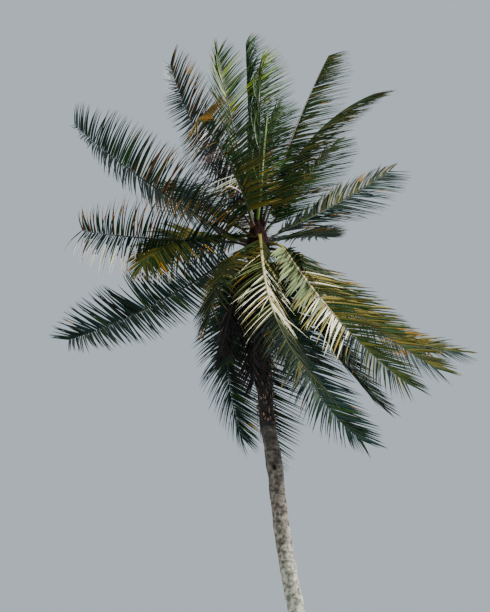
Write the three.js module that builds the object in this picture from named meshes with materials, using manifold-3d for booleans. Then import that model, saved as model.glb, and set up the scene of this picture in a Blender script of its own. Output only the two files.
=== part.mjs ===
// Coconut palm in a side wind: a leaning trunk, the bundle of leaf bases at its head, and a crown of feather
// fronds. Millimetres, +Z up. The origin is the middle of the flat cut at ground level, and the wind blows
// along +X.
import * as THREE from 'three';
import { mergeVertices } from 'three/addons/utils/BufferGeometryUtils.js';
import Module from 'manifold-3d';

const wasm = await Module();
wasm.setup();

const DEGREE = THREE.MathUtils.degToRad(1);
const SQRT3 = Math.sqrt(3);
const { lerp, clamp } = THREE.MathUtils;

// The trunk: its length, its radius at the foot, above the root flare and under the crown, and its facets
const TRUNK_TOP = 10550;
const FOOT_RADIUS = 265;
const BOLE_RADIUS = 168;
const NECK_RADIUS = 124;
const FLARE_HEIGHT = 315;
const NECK_HEIGHT = 6500;
const TRUNK_SIDES = 16;
const TRUNK_STEPS = 22;

// The trunk's middle line, foot to head, which leans against +X and steadies higher up
const LEAN = [
  [0, 0, 0], [-330, 15, 1300], [-640, 35, 2700], [-1030, 70, 4860], [-1190, 85, 5800], [-1290, 95, 6600],
  [-1345, 100, 7200], [-1450, 110, 7900], [-1500, 125, 8700], [-1585, 165, 10500], [-1612, 190, 11700],
].map(([x, y, z]) => new THREE.Vector3(x, y, z));

// The stubs of shed fronds under the crown
const STUB_COUNT = 14;
const LOWEST_STUB = 7950;
const HIGHEST_STUB = 10390;
const STUB_LENGTH = 170;
const STUB_WIDTH = 130;
const STUB_DEPTH = 56;
const STUB_TILT = 26 * DEGREE;
const GOLDEN_TURN = 137.5 * DEGREE;

// The bundle of leaf bases that carries the fronds
const BUNDLE_HEIGHT = 1050;
const BUNDLE_RADIUS = 205;
const BUNDLE_SIDES = 12;
const BUNDLE_RINGS = 9;
const HIGHEST_SEAT = 0.86;
const SEAT_DEPTH = 0.5;

// The spear leaf, still shut, in the middle of the crown, and the dry pointed spathe at its side
const SPEAR_LENGTH = 2300;
const SPEAR_RADIUS = 40;
const SPEAR_TIP_RADIUS = 7;
const SPEAR_LEAN = 5 * DEGREE;
const SPATHE_LENGTH = 680;
const SPATHE_RADIUS = 46;
const SPATHE_SEAT = 0.34;
const SPATHE_SLOPE = 12 * DEGREE;
const SPATHE_AZIMUTH = 28 * DEGREE;

// A frond's stalk and rib
const STALK_SHARE = 0.12;
const RIB_BASE_WIDTH = 92;
const RIB_TIP_WIDTH = 26;
const RIB_DEPTH_SHARE = 0.72;
const RIB_STEPS = 8;
const PATH_STEPS = 48;
const SHOULDER_SHARE = 0.16;
const SEAT_RISE = 24;
const BEND_POWER = 1.4;

// A frond's leaflets: each stands for a spray of the real ones
const LEAFLETS_A_SIDE = 10;
const LEAFLET_PITCH = (1 - STALK_SHARE) / LEAFLETS_A_SIDE;
const LEAFLET_LENGTH = 860;
const LEAFLET_THICKNESS = 15;
const LEAFLET_FILL = 0.8;
const ROOT_LEAN = 82;
const TIP_LEAN = 42;
const LEAFLET_LIFT = 16;
const DRY_LEAN = 34;
const DRY_LIFT = -15;
const LINE_STEPS = 8;

// How the wind and its own weight pull at a leaflet's free end, and the share of it that its root takes
const WIND = new THREE.Vector3(0.62, 0.12, 0.1);
const WEIGHT = new THREE.Vector3(0, 0, -0.3);
const PULL_AT_TIP = 0.85;
const PULL_AT_ROOT = 0.6;

// Room kept between neighbours
const GAP = 0.3;
const RIB_ROOM = 2;
const LEAFLET_ROOM = 6;

// The crown, youngest frond first. seat: height of the root on the bundle, 0 to 1. azimuth: 0 is +X, 90 is
// +Y. rise: slope of the rib past its shoulder. droop: how far the slope falls to the tip. sweep: how far it
// swings round to the tip. roll: how far the blade turns about the rib. blow: the share of the wind that it
// takes. hang: how heavily its leaflets hang. bend: how many leaflets up a frond that arches over is parted.
// The angles are in degrees.
const FRONDS = [
  {
    name: 'upright_centre_left', seat: 1.0, azimuth: 148, rise: 78, droop: 0, roll: -55,
    length: 3900, blow: 0.8,
  },
  { name: 'upright_centre_right', seat: 1.0, azimuth: 78, rise: 84, droop: 0, length: 3700, blow: 1.6 },
  {
    name: 'upright_left', seat: 0.94, azimuth: 169, rise: 60, droop: -15, roll: 30,
    length: 3850, blow: 1.0,
  },
  { name: 'upright_right', seat: 0.94, azimuth: 39, rise: 71, droop: 8, roll: 20, length: 4600, blow: 4.0 },
  { name: 'upright_back', seat: 0.92, azimuth: 101, rise: 78, droop: 0, length: 4550, blow: 1.8 },
  { name: 'upright_back_right', seat: 0.86, azimuth: 76, rise: 66, droop: 4, length: 3900, blow: 1.6 },
  {
    name: 'upright_front', seat: 0.88, azimuth: 215, rise: 76, droop: 125, sweep: 60, roll: 40,
    length: 3000, blow: 0.8, bend: 6,
  },
  { name: 'right_high', seat: 0.84, azimuth: 12, rise: 73, droop: 44, roll: 20, length: 3850, blow: 3.6 },
  {
    name: 'right_back_high', seat: 0.78, azimuth: 48, rise: 52, droop: 0, roll: 20,
    length: 3600, blow: 1.8,
  },
  { name: 'left_high', seat: 0.56, azimuth: 174, rise: 34, droop: -12, roll: 34, length: 4150, blow: 1.0 },
  {
    name: 'left_back_high', seat: 0.76, azimuth: 124, rise: 42, droop: 8, roll: -30,
    length: 3900, blow: 1.2,
  },
  { name: 'right_level', seat: 0.7, azimuth: 40, rise: 35, droop: -6, roll: 40, length: 4150, blow: 1.2 },
  { name: 'back_level', seat: 0.62, azimuth: 66, rise: 31, droop: 12, length: 3700, blow: 1.2 },
  { name: 'left_level', seat: 0.48, azimuth: 210, rise: -13, droop: -8, roll: 45, length: 3200, blow: 1.4 },
  {
    name: 'left_front', seat: 0.6, azimuth: 208, rise: 0, droop: 60, roll: -45,
    length: 2350, blow: 1.0, hang: 2.5,
  },
  { name: 'left_low', seat: 0.42, azimuth: 150, rise: -23, droop: -20, roll: 18, length: 4000, blow: 1.1 },
  { name: 'back_low_left', seat: 0.4, azimuth: 99, rise: -8, droop: 15, length: 3800, blow: 1.0 },
  { name: 'back_low_right', seat: 0.42, azimuth: 77, rise: -10, droop: 15, length: 3800, blow: 1.0 },
  {
    name: 'right_outer_high', seat: 0.48, azimuth: 5, rise: -53, droop: -50, roll: 45,
    length: 3850, blow: 0.1, hang: 1.6,
  },
  {
    name: 'right_outer_low', seat: 0.54, azimuth: 346, rise: -52, droop: -16, roll: 50,
    length: 3850, blow: 0.5, hang: 1.6,
  },
  {
    name: 'right_low', seat: 0.36, azimuth: 358, rise: -69, droop: -22, roll: 30,
    length: 3400, blow: 0.6, hang: 1.6,
  },
  {
    name: 'right_drooping', seat: 0.5, azimuth: 323, rise: -60, droop: -17, roll: 45,
    length: 4150, blow: 0.4, hang: 2.2,
  },
  {
    name: 'front_drooping', seat: 0.42, azimuth: 240, rise: -38, droop: 40, roll: 20,
    length: 2500, blow: 0.3, hang: 3,
  },
  {
    name: 'hanging_right', seat: 0.62, azimuth: 274, rise: -70, droop: -24, sweep: 50, roll: 20,
    length: 4300, blow: 0.3, hang: 3.2,
  },
  {
    name: 'trailing_right', seat: 0.3, azimuth: 318, rise: -88, droop: -50, roll: 30,
    length: 4400, blow: 0.5, hang: 1.8,
  },
  { name: 'hanging_back', seat: 0.28, azimuth: 80, rise: -84, droop: 0, length: 3600, blow: 2.0, hang: 1.8 },
  {
    name: 'hanging_left', seat: 0.3, azimuth: 126, rise: -52, droop: 14, sweep: -84,
    length: 3400, blow: 0.8, hang: 1.8,
  },
  { name: 'dry_left', seat: 0.14, azimuth: 222, rise: -68, droop: 10, length: 2000, blow: 0.1, dry: true },
  { name: 'dry_front', seat: 0.06, azimuth: 262, rise: -78, droop: 8, length: 2400, blow: 0.1, dry: true },
  { name: 'dry_right', seat: 0.1, azimuth: 320, rise: -76, droop: 6, length: 2100, blow: 0.1, dry: true },
].map((frond) => ({ sweep: 0, roll: 0, hang: 1, dry: false, ...frond }));

// Turns a closed geometry into a solid that can be joined and cut.
function solidOf(geometry) {
  const bare = geometry.index ? geometry.toNonIndexed() : geometry.clone();
  bare.deleteAttribute('normal');
  bare.deleteAttribute('uv');
  const merged = mergeVertices(bare, 1e-3);
  const corners = Array.from(merged.index.array);
  const kept = [];
  for (let i = 0; i < corners.length; i += 3) {
    const [a, b, c] = corners.slice(i, i + 3);
    if (a !== b && b !== c && c !== a) kept.push(a, b, c);
  }
  return new wasm.Manifold(new wasm.Mesh({
    numProp: 3,
    vertProperties: merged.attributes.position.array,
    triVerts: new Uint32Array(kept),
  }));
}

// Turns a solid back into a geometry.
function geometryOf(solid) {
  const made = solid.getMesh();
  const geometry = new THREE.BufferGeometry();
  geometry.setAttribute('position', new THREE.BufferAttribute(new Float32Array(made.vertProperties), 3));
  geometry.setIndex(new THREE.BufferAttribute(new Uint32Array(made.triVerts), 1));
  geometry.computeVertexNormals();
  return geometry;
}

// The largest body of a solid: what a cut leaves loose is dropped.
function largestBody(solid) {
  return solid.decompose().sort((a, b) => b.volume() - a.volume())[0];
}

// Whether two solids share more than a trace of room.
function meets(a, b) {
  const boxA = a.boundingBox();
  const boxB = b.boundingBox();
  for (let i = 0; i < 3; i++) {
    if (boxA.min[i] > boxB.max[i] || boxB.min[i] > boxA.max[i]) return false;
  }
  return a.intersect(b).volume() > 1e-3;
}

// Cuts a solid clear of each of the rooms that it reaches into.
function cutClear(solid, rooms) {
  let cut = solid;
  for (const room of rooms) {
    if (meets(cut, room)) cut = cut.subtract(room);
  }
  return largestBody(cut);
}

// Moves every vertex of a geometry to where place(vertex) says.
function reshape(geometry, place) {
  const position = geometry.attributes.position;
  const vertex = new THREE.Vector3();
  for (let i = 0; i < position.count; i++) {
    const moved = place(vertex.fromBufferAttribute(position, i));
    position.setXYZ(i, moved.x, moved.y, moved.z);
  }
  return geometry;
}

// A lathed solid that stands along +Z, from a profile of radius and height.
function lathedUpright(profile, sides) {
  const points = profile.map(([radius, height]) => new THREE.Vector2(radius, height));
  return new THREE.LatheGeometry(points, sides).rotateX(Math.PI / 2);
}

// The trunk's middle line as a smooth curve, read by height
const leanPoints = new THREE.CatmullRomCurve3(LEAN, false, 'centripetal').getPoints(400);

function trunkMiddle(height) {
  const above = clamp(leanPoints.findIndex((p) => p.z >= height), 1, leanPoints.length - 1);
  const low = leanPoints[above - 1];
  const high = leanPoints[above];
  return low.clone().lerp(high, (height - low.z) / (high.z - low.z));
}

// The trunk is thickest at the root flare, and thins slowly up to its neck.
function trunkRadius(height) {
  const flare = (FOOT_RADIUS - BOLE_RADIUS) * Math.exp(-height / FLARE_HEIGHT);
  const taper = lerp(BOLE_RADIUS, NECK_RADIUS, Math.min(1, height / NECK_HEIGHT) ** 0.75);
  return taper + flare;
}

function makeTrunk(grow = 0) {
  const profile = [[0, 0]];
  for (let i = 0; i <= TRUNK_STEPS; i++) {
    const height = TRUNK_TOP * (i / TRUNK_STEPS) ** 1.25;
    profile.push([trunkRadius(height) + grow, height]);
  }
  profile.push([0, TRUNK_TOP]);
  const upright = lathedUpright(profile, TRUNK_SIDES);
  const bole = solidOf(reshape(upright, (v) => trunkMiddle(v.z).add(new THREE.Vector3(v.x, v.y, 0))));
  return bole.add(wasm.Manifold.union(shedFrondStubs(grow)));
}

// The stubs stand in a spiral below the crown, each a wedge that leans up and out of the trunk.
function shedFrondStubs(grow) {
  return Array.from({ length: STUB_COUNT }, (_, i) => {
    const height = lerp(LOWEST_STUB, HIGHEST_STUB, i / (STUB_COUNT - 1));
    const stub = new THREE.ConeGeometry(Math.SQRT1_2, STUB_LENGTH, 4);
    stub.rotateX(Math.PI / 2).rotateZ(Math.PI / 4).scale(STUB_DEPTH + grow, STUB_WIDTH + grow, 1);
    stub.rotateY(STUB_TILT).translate(trunkRadius(height), 0, 0).rotateZ(i * GOLDEN_TURN);
    const middle = trunkMiddle(height);
    return solidOf(stub.translate(middle.x, middle.y, middle.z));
  });
}

// How wide the bundle of leaf bases is at a share of its height.
function bundleRadius(share) {
  const belly = Math.sin(Math.PI * (0.22 + 0.6 * share)) ** 1.2;
  const closing = Math.sqrt(Math.max(0, 1 - share ** 5));
  return BUNDLE_RADIUS * belly * closing;
}

function bundlePoint(share) {
  return trunkMiddle(TRUNK_TOP + GAP + share * BUNDLE_HEIGHT);
}

function makeBundle(grow = 0) {
  const profile = [[0, -grow], [bundleRadius(0) + grow, -grow]];
  for (let i = 1; i < BUNDLE_RINGS; i++) {
    const share = i / BUNDLE_RINGS;
    profile.push([bundleRadius(share) + grow, share * BUNDLE_HEIGHT]);
  }
  profile.push([0, BUNDLE_HEIGHT + grow]);
  return solidOf(reshape(lathedUpright(profile, BUNDLE_SIDES), (v) => {
    const middle = bundlePoint(clamp(v.z / BUNDLE_HEIGHT, 0, 1));
    return new THREE.Vector3(middle.x + v.x, middle.y + v.y, TRUNK_TOP + GAP + v.z);
  }));
}

// The shut spear leaf: a tapering rod with six sides that rises from the top of the bundle.
function makeSpear(grow = 0) {
  const rod = new THREE.CylinderGeometry(SPEAR_TIP_RADIUS + grow, SPEAR_RADIUS + grow, SPEAR_LENGTH, 6);
  rod.translate(0, SPEAR_LENGTH / 2, 0).rotateX(Math.PI / 2).rotateY(SPEAR_LEAN);
  const root = bundlePoint(HIGHEST_SEAT);
  return solidOf(rod.translate(root.x, root.y, root.z));
}

// The spathe: a woody bract with two pointed ends, thickest in its middle.
function makeSpathe() {
  const steps = 6;
  const profile = Array.from({ length: steps + 1 }, (_, i) => {
    const inner = i > 0 && i < steps;
    return [inner ? SPATHE_RADIUS * Math.sin(Math.PI * i / steps) : 0, SPATHE_LENGTH * i / steps];
  });
  const root = bundlePoint(SPATHE_SEAT);
  const bract = lathedUpright(profile, 8).rotateY(Math.PI / 2 - SPATHE_SLOPE).rotateZ(SPATHE_AZIMUTH);
  return solidOf(bract.translate(root.x, root.y, root.z));
}

// A frond's rib: frames along it, each with its point, its direction, its left side and its upper side.
function ribPath(frond) {
  const azimuth = frond.azimuth * DEGREE;
  const seat = frond.seat * HIGHEST_SEAT;
  const outward = new THREE.Vector3(Math.cos(azimuth), Math.sin(azimuth), 0);
  const point = bundlePoint(seat).addScaledVector(outward, SEAT_DEPTH * bundleRadius(seat));
  const shoulder = Math.max(0, SEAT_RISE - frond.rise);
  const frames = [];
  for (let i = 0; i <= PATH_STEPS; i++) {
    const share = i / PATH_STEPS;
    const raised = shoulder * Math.max(0, 1 - share / SHOULDER_SHARE) ** 2;
    const slope = (frond.rise + raised - frond.droop * share ** BEND_POWER) * DEGREE;
    const heading = azimuth + frond.sweep * DEGREE * share ** BEND_POWER;
    const level = new THREE.Vector3(Math.cos(heading), Math.sin(heading), 0);
    const along = level.multiplyScalar(Math.cos(slope)).setZ(Math.sin(slope));
    const side = new THREE.Vector3(-Math.sin(heading), Math.cos(heading), 0);
    side.applyAxisAngle(along, frond.roll * DEGREE * Math.min(1, 2 * share));
    const up = along.clone().cross(side);
    frames.push({ point: point.clone(), along, side, up });
    point.addScaledVector(along, frond.length / PATH_STEPS);
  }
  return frames;
}

// The frame at a share of the rib's length.
function frameAt(frames, share) {
  const place = clamp(share, 0, 1) * PATH_STEPS;
  const lower = Math.min(PATH_STEPS - 1, Math.floor(place));
  const blend = (key) => frames[lower][key].clone().lerp(frames[lower + 1][key], place - lower);
  return { point: blend('point'), along: blend('along'), side: blend('side'), up: blend('up') };
}

function ribWidth(share) {
  return lerp(RIB_BASE_WIDTH, RIB_TIP_WIDTH, clamp(share, 0, 1) ** 0.8);
}

// How long a leaflet is at a share of the bladed part of the rib.
function leafletLength(frond, place) {
  return LEAFLET_LENGTH * Math.sin(Math.PI * (0.22 + 0.64 * place)) ** 0.6 * (frond.length / 4200) ** 0.3;
}

// Where a leaflet's free end lies: it leans forward from the rib, more so near the frond's tip, and goes
// with the wind and its own weight. A dry frond's leaflets hang shut along the rib.
function leafletTip(frond, frame, place, hand) {
  const lean = (frond.dry ? DRY_LEAN : lerp(ROOT_LEAN, TIP_LEAN, place ** 1.3)) * DEGREE;
  const lift = (frond.dry ? DRY_LIFT : LEAFLET_LIFT) * DEGREE;
  const start = frame.along.clone().multiplyScalar(Math.cos(lean));
  start.addScaledVector(frame.side, hand * Math.sin(lean) * Math.cos(lift));
  start.addScaledVector(frame.up, Math.sin(lean) * Math.sin(lift));
  const pull = WIND.clone().multiplyScalar(frond.blow).addScaledVector(WEIGHT, frond.hang);
  pull.multiplyScalar(PULL_AT_TIP);
  const step = leafletLength(frond, place) / LINE_STEPS;
  const point = frame.point.clone();
  for (let i = 1; i <= LINE_STEPS; i++) {
    const share = lerp(PULL_AT_ROOT, 1, (i / LINE_STEPS) ** 1.3);
    point.addScaledVector(start.clone().addScaledVector(pull, share).normalize(), step);
  }
  return point;
}

// A leaflet is a three-sided blade. Its root lies along the rib, sunk in it, and its point is the free end.
function makeLeaflet({ frond, frames }, index, hand, grow = 0) {
  const place = (index + 0.5) / LEAFLETS_A_SIDE;
  const frame = frameAt(frames, STALK_SHARE + (1 - STALK_SHARE) * place);
  const tip = leafletTip(frond, frame, place, hand);
  const way = tip.clone().sub(frame.point).normalize();
  tip.addScaledVector(way, grow);
  const normal = frame.along.clone().cross(way).normalize();
  const width = LEAFLET_FILL * LEAFLET_PITCH * frond.length + 2 * grow;
  const thickness = LEAFLET_THICKNESS + 2 * grow;
  return solidOf(reshape(new THREE.ConeGeometry(1, 1, 3), (v) => {
    if (v.y > 0) return tip;
    const root = frame.point.clone().addScaledVector(frame.along, v.x * width / SQRT3);
    return root.addScaledVector(normal, v.z * thickness / 1.5);
  }));
}

// The rib between two shares of its length: a bar of four sides that tapers, stepped closer near its root.
function makeRib({ frames }, grow = 0, from = 0, to = 1) {
  return solidOf(reshape(new THREE.BoxGeometry(1, 1, 1, 1, RIB_STEPS, 1), (v) => {
    const share = lerp(from, to, (v.y + 0.5) ** 1.5);
    const frame = frameAt(frames, share);
    const width = ribWidth(share) + 2 * grow;
    const corner = frame.point.clone().addScaledVector(frame.side, v.x * -width);
    return corner.addScaledVector(frame.up, v.z * width * RIB_DEPTH_SHARE);
  }));
}

// Grows the crown: first all the ribs, each cut clear of the rooms of those before it, then frond by frond
// those leaflets that are clear of all the rest. A frond with a bend comes in two pieces, parted by the gap.
function makeCrown(fixed, fixedRooms) {
  const crown = FRONDS.map((frond) => ({ frond, frames: ribPath(frond) }));
  for (const entry of crown) {
    entry.rooms = [...fixedRooms, ...crown.slice(0, crown.indexOf(entry)).map((e) => e.room)];
    entry.solid = cutClear(makeRib(entry), entry.rooms);
    entry.room = makeRib(entry, RIB_ROOM);
  }
  for (const entry of crown) {
    const { frond, rooms } = entry;
    const others = [...fixed, ...crown.filter((e) => e !== entry).map((e) => e.solid)];
    const half = GAP / 2 / frond.length;
    const bend = STALK_SHARE + frond.bend * LEAFLET_PITCH;
    const spans = frond.bend
      ? [['_inner', 0, bend - half], ['_outer', bend + half, 1]]
      : [['', 0, 1]];
    entry.pieces = spans.map(([ending, from, to]) => {
      const leaflets = [];
      for (let i = 0; i < LEAFLETS_A_SIDE; i++) {
        const share = STALK_SHARE + (i + 0.5) * LEAFLET_PITCH;
        if (share < from || share > to) continue;
        for (const hand of [-1, 1]) {
          const room = makeLeaflet(entry, i, hand, LEAFLET_ROOM);
          if (!others.some((other) => meets(room, other))) leaflets.push(makeLeaflet(entry, i, hand));
        }
      }
      const rib = cutClear(makeRib(entry, 0, from, to), rooms);
      return { name: `frond_${frond.name}${ending}`, solid: wasm.Manifold.union([rib, ...leaflets]) };
    });
    entry.solid = wasm.Manifold.union(entry.pieces.map((piece) => piece.solid));
  }
  return crown;
}

// What the pieces are made of
const finishes = {
  bark: new THREE.MeshStandardMaterial({ color: '#8d8073', roughness: 0.95, metalness: 0 }),
  fibre: new THREE.MeshStandardMaterial({ color: '#6b4a33', roughness: 1, metalness: 0 }),
  green: new THREE.MeshStandardMaterial({ color: '#5d6b2a', roughness: 0.55, metalness: 0 }),
  young: new THREE.MeshStandardMaterial({ color: '#a3a84a', roughness: 0.5, metalness: 0 }),
  dry: new THREE.MeshStandardMaterial({ color: '#6a5040', roughness: 0.9, metalness: 0 }),
};

// A piece's mesh. Its vertices are rounded and merged first, so that a scrap that this parts is dropped too.
function pieceOf(name, solid, finish) {
  const mesh = new THREE.Mesh(geometryOf(largestBody(solidOf(geometryOf(solid)))), finish);
  mesh.name = name;
  return mesh;
}

const trunk = makeTrunk();
const bundle = makeBundle();
const bundleRoom = makeBundle(GAP);
const trunkRoom = makeTrunk(GAP);
const spear = cutClear(makeSpear(), [bundleRoom]);
const crown = makeCrown([trunk, bundle, spear], [trunkRoom, bundleRoom, makeSpear(GAP)]);
const spathe = cutClear(makeSpathe(), [bundleRoom, ...crown.map((entry) => entry.room)]);

const palm = new THREE.Group();
palm.add(pieceOf('trunk', trunk, finishes.bark));
palm.add(pieceOf('leaf_base_bundle', bundle, finishes.fibre));
palm.add(pieceOf('spear_leaf', spear, finishes.young));
palm.add(pieceOf('dry_spathe', spathe, finishes.dry));
for (const { frond, pieces } of crown) {
  for (const { name, solid } of pieces) {
    palm.add(pieceOf(name, solid, frond.dry ? finishes.dry : finishes.green));
  }
}

export default palm;
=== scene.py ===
import math

import bmesh
import bpy
import numpy as np
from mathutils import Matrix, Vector, noise


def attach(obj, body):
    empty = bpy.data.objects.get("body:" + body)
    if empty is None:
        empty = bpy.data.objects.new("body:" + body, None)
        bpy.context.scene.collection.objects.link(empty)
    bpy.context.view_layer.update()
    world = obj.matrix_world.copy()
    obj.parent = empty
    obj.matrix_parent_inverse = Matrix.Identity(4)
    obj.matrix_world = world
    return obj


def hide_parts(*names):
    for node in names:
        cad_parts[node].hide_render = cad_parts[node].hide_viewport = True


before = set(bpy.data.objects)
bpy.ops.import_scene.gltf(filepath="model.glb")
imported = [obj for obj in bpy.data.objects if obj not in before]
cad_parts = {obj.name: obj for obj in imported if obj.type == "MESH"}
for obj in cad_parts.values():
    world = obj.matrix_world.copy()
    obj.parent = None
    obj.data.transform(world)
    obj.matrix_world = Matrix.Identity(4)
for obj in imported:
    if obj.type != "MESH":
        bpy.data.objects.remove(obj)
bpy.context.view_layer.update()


# Trunk: one slim stem of fibrous palm wood that leans and tapers up to the crown. Each shed frond has left a
# scar round it, tilted to its own side, and the weather has opened fine upright cracks. Made from a cylinder
# with fine rings, whose surface is then carved.
TRUNK_TOP = 10.55
FOOT_RADIUS = 0.265
BOLE_RADIUS = 0.168
NECK_RADIUS = 0.124
FLARE_HEIGHT = 0.315
NECK_HEIGHT = 6.5
TAPER_POWER = 0.75
LEAN = np.array([
    (0, 0, 0), (-0.33, 0.015, 1.3), (-0.64, 0.035, 2.7), (-1.03, 0.07, 4.86), (-1.19, 0.085, 5.8),
    (-1.29, 0.095, 6.6), (-1.345, 0.1, 7.2), (-1.45, 0.11, 7.9), (-1.5, 0.125, 8.7),
    (-1.585, 0.165, 10.5), (-1.612, 0.19, 11.7),
])
TRUNK_SIDES = 80
RING_CUTS = 23
SCAR_PITCH = 0.072
SCAR_TILT = 0.26
SCAR_DEPTH = 0.007
SCAR_FADE_UP = 0.1
SCAR_FADE_DOWN = 0.16
SCAR_BULGE = 0.7
WEAR_HEIGHT = 0.11
CRACK_WIDTH = 0.02
CRACK_LENGTH = 0.12
CRACK_DEPTH = 0.004
CRACK_EDGE = 0.08
CRACKED_PATCH_HEIGHT = 0.3
LUMP_SIZE = 0.2
LUMP_DEPTH = 0.008
ROOT_SWELL_HEIGHT = 0.22
ROOT_SWELL_DEPTH = 0.05
GOLDEN_TURN = math.radians(137.5)

# The one small hole in the trunk, at the front below the crown, with a healed lip
HOLE_HEIGHT = 7.12
HOLE_AZIMUTH = math.radians(-97)
HOLE_RADIUS = 0.034
HOLE_DEPTH = 0.05
HOLE_LIP = 0.008
HOLE_LIP_PLACE = 1.35
HOLE_LIP_WIDTH = 0.3


def trunk_middle(height):
    """The trunk's middle line at a height, or at many, as a smooth curve through the points of its lean."""
    heights = LEAN[:, 2]
    slopes = np.gradient(LEAN[:, :2], heights, axis=0)
    height = np.clip(height, 0, heights[-1])
    low = np.clip(np.searchsorted(heights, height, side="right") - 1, 0, len(heights) - 2)
    span = (heights[low + 1] - heights[low])[..., None]
    t = (height - heights[low])[..., None] / span
    level = (
        LEAN[low, :2] * (1 + 2 * t) * (1 - t) ** 2
        + slopes[low] * span * t * (1 - t) ** 2
        + LEAN[low + 1, :2] * t * t * (3 - 2 * t)
        - slopes[low + 1] * span * t * t * (1 - t)
    )
    return np.concatenate([level, height[..., None]], axis=-1)


def trunk_radius(height):
    """The trunk is thickest at the root flare, and thins slowly up to its neck."""
    taper = BOLE_RADIUS + (NECK_RADIUS - BOLE_RADIUS) * np.minimum(1, height / NECK_HEIGHT) ** TAPER_POWER
    return taper + (FOOT_RADIUS - BOLE_RADIUS) * np.exp(-height / FLARE_HEIGHT)


def noise_at(points):
    """Smooth noise of about -1 to 1 at many points, with one bump to each unit of length."""
    return np.array([noise.noise(Vector(point)) for point in points])


def scar_phase(height, angle):
    """How far a point is between the scar below it and the scar above it, from 0 to 1."""
    turns = height / SCAR_PITCH
    below = np.full_like(turns, -np.inf)
    above = np.full_like(turns, np.inf)
    for step in (-1, 0, 1, 2):
        scar = np.floor(turns) + step
        line = scar + SCAR_TILT * np.cos(angle - scar * GOLDEN_TURN)
        below = np.where((line <= turns) & (line > below), line, below)
        above = np.where((line > turns) & (line < above), line, above)
    return (turns - below) / (above - below)


def select_upright_edges(mesh):
    """Selects the edges that run up a cylinder's side."""
    bpy.ops.mesh.select_all(action="DESELECT")
    shell = bmesh.from_edit_mesh(mesh)
    for edge in shell.edges:
        edge.select_set(abs(edge.verts[0].co.z - edge.verts[1].co.z) > 1e-4)
    bmesh.update_edit_mesh(mesh)


def ringed_cylinder(name, sides, cuts):
    """A cylinder of radius 1 and height 1 from the ground up, its side cut into rings twice over."""
    bpy.ops.object.select_all(action="DESELECT")
    bpy.ops.mesh.primitive_cylinder_add(vertices=sides, radius=1, depth=1, end_fill_type="TRIFAN")
    made = bpy.context.object
    made.name = name
    bpy.ops.object.mode_set(mode="EDIT")
    bpy.ops.mesh.select_mode(type="EDGE")
    for _ in range(2):
        select_upright_edges(made.data)
        bpy.ops.mesh.subdivide(number_cuts=cuts)
    bpy.ops.object.mode_set(mode="OBJECT")
    bpy.ops.object.shade_smooth()
    return made


def mesh_points(mesh):
    """A mesh's vertices as an array."""
    flat = np.empty(len(mesh.vertices) * 3)
    mesh.vertices.foreach_get("co", flat)
    return flat.reshape(-1, 3)


def keep_value(mesh, name, values):
    """Keeps one number for each vertex, which a material can read."""
    kept = mesh.attributes.new(name, "FLOAT", "POINT")
    kept.data.foreach_set("value", np.asarray(values, dtype=np.float32))


bark = ringed_cylinder("trunk_bark", TRUNK_SIDES, RING_CUTS)
points = mesh_points(bark.data)
height = (points[:, 2] + 0.5) * TRUNK_TOP
angle = np.arctan2(points[:, 1], points[:, 0])
skin = np.hypot(points[:, 0], points[:, 1])
around = np.stack([np.cos(angle), np.sin(angle)], axis=1)
radius = trunk_radius(height)
phase = scar_phase(height, angle)
scar = np.exp(-((phase / SCAR_FADE_UP) ** 2)) + np.exp(-(((1 - phase) / SCAR_FADE_DOWN) ** 2))
wear = noise_at(np.column_stack([around * 1.8, height / WEAR_HEIGHT]))
scar = np.clip(scar * (0.45 + 1.5 * wear), 0, 1)
fissure = noise_at(np.column_stack([around * radius[:, None] / CRACK_WIDTH, height / CRACK_LENGTH]))
fissure = np.clip(1 - np.abs(fissure) / CRACK_EDGE, 0, 1)
cracked_patch = noise_at(np.column_stack([around * 2.6, height / CRACKED_PATCH_HEIGHT]) + 40)
fissure = fissure * np.clip(cracked_patch * 3 - 0.4, 0, 1)
lumps = noise_at(np.column_stack([around * radius[:, None], height]) / LUMP_SIZE)
root_swell = np.exp(-height / ROOT_SWELL_HEIGHT) * noise_at(np.column_stack([around * 3.2, height * 2]))
front = (angle - HOLE_AZIMUTH + math.pi) % math.tau - math.pi
from_hole = np.hypot(front * radius, (height - HOLE_HEIGHT) * 0.8) / HOLE_RADIUS
hole = np.exp(-from_hole ** 4)
relief = (
    -SCAR_DEPTH * scar
    + SCAR_DEPTH * SCAR_BULGE * (1 - phase) * (1 - scar)
    - CRACK_DEPTH * fissure
    + LUMP_DEPTH * lumps
    + ROOT_SWELL_DEPTH * root_swell
    - HOLE_DEPTH * hole
    + HOLE_LIP * np.exp(-((from_hole - HOLE_LIP_PLACE) / HOLE_LIP_WIDTH) ** 2)
)
on_side = (height > 0.001) & (height < TRUNK_TOP - 0.001)
reach = (radius + np.where(on_side, relief, 0)) * np.where(skin > 0.5, 1, 0)
middle = trunk_middle(height)
points = np.column_stack([middle[:, :2] + around * reach[:, None], height])
bark.data.vertices.foreach_set("co", points.ravel())
keep_value(bark.data, "scar", scar)
keep_value(bark.data, "crack", fissure)
keep_value(bark.data, "hole", np.clip(hole * 1.3, 0, 1))


def linear(colour):
    """A colour written as sRGB hex, in linear light."""
    levels = [int(colour[i:i + 2], 16) / 255 for i in (1, 3, 5)]
    return [v / 12.92 if v <= 0.04045 else ((v + 0.055) / 1.055) ** 2.4 for v in levels] + [1]


def node(material, kind, inputs=None, **settings):
    """Adds a node with its settings. An input takes a plain value, or the output that feeds it."""
    made = material.node_tree.nodes.new(kind)
    for key, value in settings.items():
        setattr(made, key, value)
    for socket, value in (inputs or {}).items():
        if isinstance(value, bpy.types.NodeSocket):
            material.node_tree.links.new(value, made.inputs[socket])
        else:
            made.inputs[socket].default_value = value
    return made


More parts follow.
